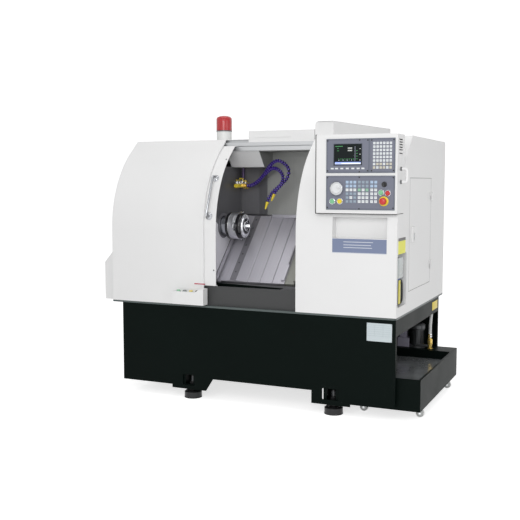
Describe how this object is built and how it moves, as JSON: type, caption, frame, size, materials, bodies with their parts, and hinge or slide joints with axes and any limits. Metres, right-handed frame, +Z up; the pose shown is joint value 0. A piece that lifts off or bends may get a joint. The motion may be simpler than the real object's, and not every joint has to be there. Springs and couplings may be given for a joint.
{
  "type": "cnc turning lathe",
  "caption": "Enclosed slant bed turning lathe with sliding curved door, chuck, covered ways, control box and roll-out coolant tank.",
  "frame": {"origin": "on the floor, in the middle of the whole machine's width and depth", "axes": "+X to the operator's right, +Y to the back, +Z up"},
  "size_m": [2.241, 1.365, 1.89],
  "materials": {
    "white_paint": "semi-gloss",
    "black_paint": "semi-gloss",
    "deck_paint": "satin",
    "iron": "painted",
    "steel": "ground",
    "stainless": "brushed",
    "bright_chrome": "polished",
    "dark_steel": "satin",
    "alloy": "satin",
    "panel_paint": "satin",
    "key_plastic": "matte",
    "black_plastic": "matte",
    "red_plastic": "gloss",
    "green_plastic": "gloss",
    "yellow_plastic": "gloss",
    "dome_plastic": "clear tinted",
    "white_plastic": "matte",
    "tank_paint": "gloss",
    "belt_rubber": "matte",
    "hose_plastic": "satin",
    "clear_pane": "clear",
    "brass_fitting": "satin"
  },
  "bodies": {
    "machine": {"base_frame": "black_paint", "deck_plate": "deck_paint", "levelling_feet": "dark_steel", "bed_casting": "iron", "headstock": "iron", "spindle_bearings": "steel", "drive_motors": "dark_steel", "drive_belt": "belt_rubber", "left_hood": "white_paint", "rear_cover": "white_paint", "right_front_cover": "white_paint", "right_side_panel": "white_paint", "door_rail": "alloy", "chute_sill": "dark_steel", "work_area_liner": "stainless", "fixed_way_cover": "stainless", "control_box": "white_paint", "control_panels": "panel_paint", "panel_keys": "key_plastic", "roof_duct": "white_paint", "beacon_base": "white_plastic", "beacon_dome": "dome_plastic", "button_box": "white_paint", "oil_pump": "white_plastic", "coolant_manifold": "brass_fitting", "segmented_hoses": "hose_plastic", "electrical_plate": "white_plastic"},
    "front_door": {"door_panel": "white_paint", "door_window": "clear_pane", "door_handle": "bright_chrome"},
    "main_spindle": {"spindle": "steel", "spindle_pulley": "steel", "chuck": "steel"},
    "draw_collet": {"collet": "bright_chrome"},
    "motor_rotor": {"motor_pulley": "steel"},
    "carriage": {"saddle": "iron"},
    "cross_carriage": {"cross_slide": "iron"},
    "turret": {"turret_disc": "steel"},
    "feed_screw": {"ball_screw": "steel"},
    "cover_one": {"way_cover_1": "stainless"},
    "cover_two": {"way_cover_2": "stainless"},
    "cover_three": {"way_cover_3": "stainless"},
    "tank": {"coolant_tank": "tank_paint", "coolant_pump": "dark_steel", "tank_hose": "white_plastic"},
    "tank_valve": {"tank_valve_lever": "brass_fitting"},
    "access_door": {"side_door": "white_paint"},
    "stop_button": {"emergency_stop": "red_plastic"},
    "start_push": {"cycle_start_button": "green_plastic"},
    "hold_push": {"feed_hold_button": "red_plastic"},
    "on_push": {"power_on_button": "green_plastic"},
    "off_push": {"power_off_button": "yellow_plastic"},
    "pulse_wheel": {"handwheel": "black_plastic"},
    "key_barrel": {"key_switch": "steel"},
    "valve_one": {"manifold_lever_1": "brass_fitting"},
    "valve_two": {"manifold_lever_2": "brass_fitting"},
    "roller_1": {"caster_wheel_1": "white_plastic"},
    "roller_2": {"caster_wheel_2": "white_plastic"},
    "roller_3": {"caster_wheel_3": "white_plastic"},
    "roller_4": {"caster_wheel_4": "white_plastic"}
  },
  "joints": [
    {"name": "door_slide", "type": "slide", "parent": "machine", "child": "front_door", "axis": [1, 0, 0], "range_m": [0, 0.57]},
    {"name": "spindle_spin", "type": "hinge", "parent": "machine", "child": "main_spindle", "pos_m": [-0.4225, -0.30755, 1.14198], "axis": [1, 0, 0], "continuous": true},
    {"name": "collet_draw", "type": "slide", "parent": "main_spindle", "child": "draw_collet", "axis": [-1, 0, 0], "range_m": [0, 0.002]},
    {"name": "motor_spin", "type": "hinge", "parent": "machine", "child": "motor_rotor", "pos_m": [-0.7225, -0.1875, 0.4], "axis": [1, 0, 0], "continuous": true},
    {"name": "saddle_slide", "type": "slide", "parent": "machine", "child": "carriage", "axis": [1, 0, 0], "range_m": [-0.225, 0.15]},
    {"name": "cover_one_slide", "type": "slide", "parent": "machine", "child": "cover_one", "axis": [1, 0, 0], "range_m": [-0.058, 0.039]},
    {"name": "cover_two_slide", "type": "slide", "parent": "machine", "child": "cover_two", "axis": [1, 0, 0], "range_m": [-0.114, 0.077]},
    {"name": "cover_three_slide", "type": "slide", "parent": "machine", "child": "cover_three", "axis": [1, 0, 0], "range_m": [-0.17, 0.114]},
    {"name": "cross_feed", "type": "slide", "parent": "carriage", "child": "cross_carriage", "axis": [0, 0.7071, 0.7071], "range_m": [-0.14, 0.01]},
    {"name": "turret_index", "type": "hinge", "parent": "cross_carriage", "child": "turret", "pos_m": [0.2775, -0.19384, 1.25511], "axis": [1, 0, 0], "continuous": true},
    {"name": "screw_spin", "type": "hinge", "parent": "machine", "child": "feed_screw", "pos_m": [0.2775, -0.09867, 0.9331], "axis": [1, 0, 0], "continuous": true},
    {"name": "tank_slide", "type": "slide", "parent": "machine", "child": "tank", "axis": [1, 0, 0], "range_m": [0, 0.7], "deforming": ["tank_hose"]},
    {"name": "valve_turn", "type": "hinge", "parent": "tank", "child": "tank_valve", "pos_m": [0.9545, 0.3775, 0.319], "axis": [0, 1, 0], "range_deg": [0, 90]},
    {"name": "roller_spin_1", "type": "hinge", "parent": "tank", "child": "roller_1", "pos_m": [0.7275, -0.4065, 0.025], "axis": [0, 1, 0], "continuous": true},
    {"name": "roller_spin_2", "type": "hinge", "parent": "tank", "child": "roller_2", "pos_m": [1.0845, -0.4065, 0.025], "axis": [0, 1, 0], "continuous": true},
    {"name": "roller_spin_3", "type": "hinge", "parent": "tank", "child": "roller_3", "pos_m": [0.7275, 0.3955, 0.025], "axis": [0, 1, 0], "continuous": true},
    {"name": "roller_spin_4", "type": "hinge", "parent": "tank", "child": "roller_4", "pos_m": [1.0845, 0.3955, 0.025], "axis": [0, 1, 0], "continuous": true},
    {"name": "access_door_hinge", "type": "hinge", "parent": "machine", "child": "access_door", "pos_m": [0.984, 0.252, 1.1], "axis": [0, 0, 1], "range_deg": [0, 100]},
    {"name": "stop_push", "type": "slide", "parent": "machine", "child": "stop_button", "axis": [0, 1, 0], "range_m": [0, 0.005]},
    {"name": "start_button_push", "type": "slide", "parent": "machine", "child": "start_push", "axis": [0, 1, 0], "range_m": [0, 0.004], "stiffness_N_per_m": 500, "springref_m": -0.002},
    {"name": "hold_button_push", "type": "slide", "parent": "machine", "child": "hold_push", "axis": [0, 1, 0], "range_m": [0, 0.004], "stiffness_N_per_m": 500, "springref_m": -0.002},
    {"name": "on_button_push", "type": "slide", "parent": "machine", "child": "on_push", "axis": [0, 1, 0], "range_m": [0, 0.004], "stiffness_N_per_m": 500, "springref_m": -0.002},
    {"name": "off_button_push", "type": "slide", "parent": "machine", "child": "off_push", "axis": [0, 1, 0], "range_m": [0, 0.004], "stiffness_N_per_m": 500, "springref_m": -0.002},
    {"name": "wheel_turn", "type": "hinge", "parent": "machine", "child": "pulse_wheel", "pos_m": [0.6135, -0.6475, 1.397], "axis": [0, 1, 0], "continuous": true},
    {"name": "key_turn", "type": "hinge", "parent": "machine", "child": "key_barrel", "pos_m": [0.9035, -0.6375, 1.422], "axis": [0, 1, 0], "range_deg": [0, 90]},
    {"name": "valve_one_turn", "type": "hinge", "parent": "machine", "child": "valve_one", "pos_m": [-0.2865, -0.0555, 1.458], "axis": [0, 0, 1], "range_deg": [0, 90]},
    {"name": "valve_two_turn", "type": "hinge", "parent": "machine", "child": "valve_two", "pos_m": [-0.2625, -0.0555, 1.442], "axis": [0, 0, 1], "range_deg": [0, 90]}
  ],
  "couplings": [
    {"joint": "motor_spin", "follows": "spindle_spin", "ratio": 1.4167},
    {"joint": "cover_one_slide", "follows": "saddle_slide", "ratio": 0.25},
    {"joint": "cover_two_slide", "follows": "saddle_slide", "ratio": 0.5},
    {"joint": "cover_three_slide", "follows": "saddle_slide", "ratio": 0.75}
  ]
}
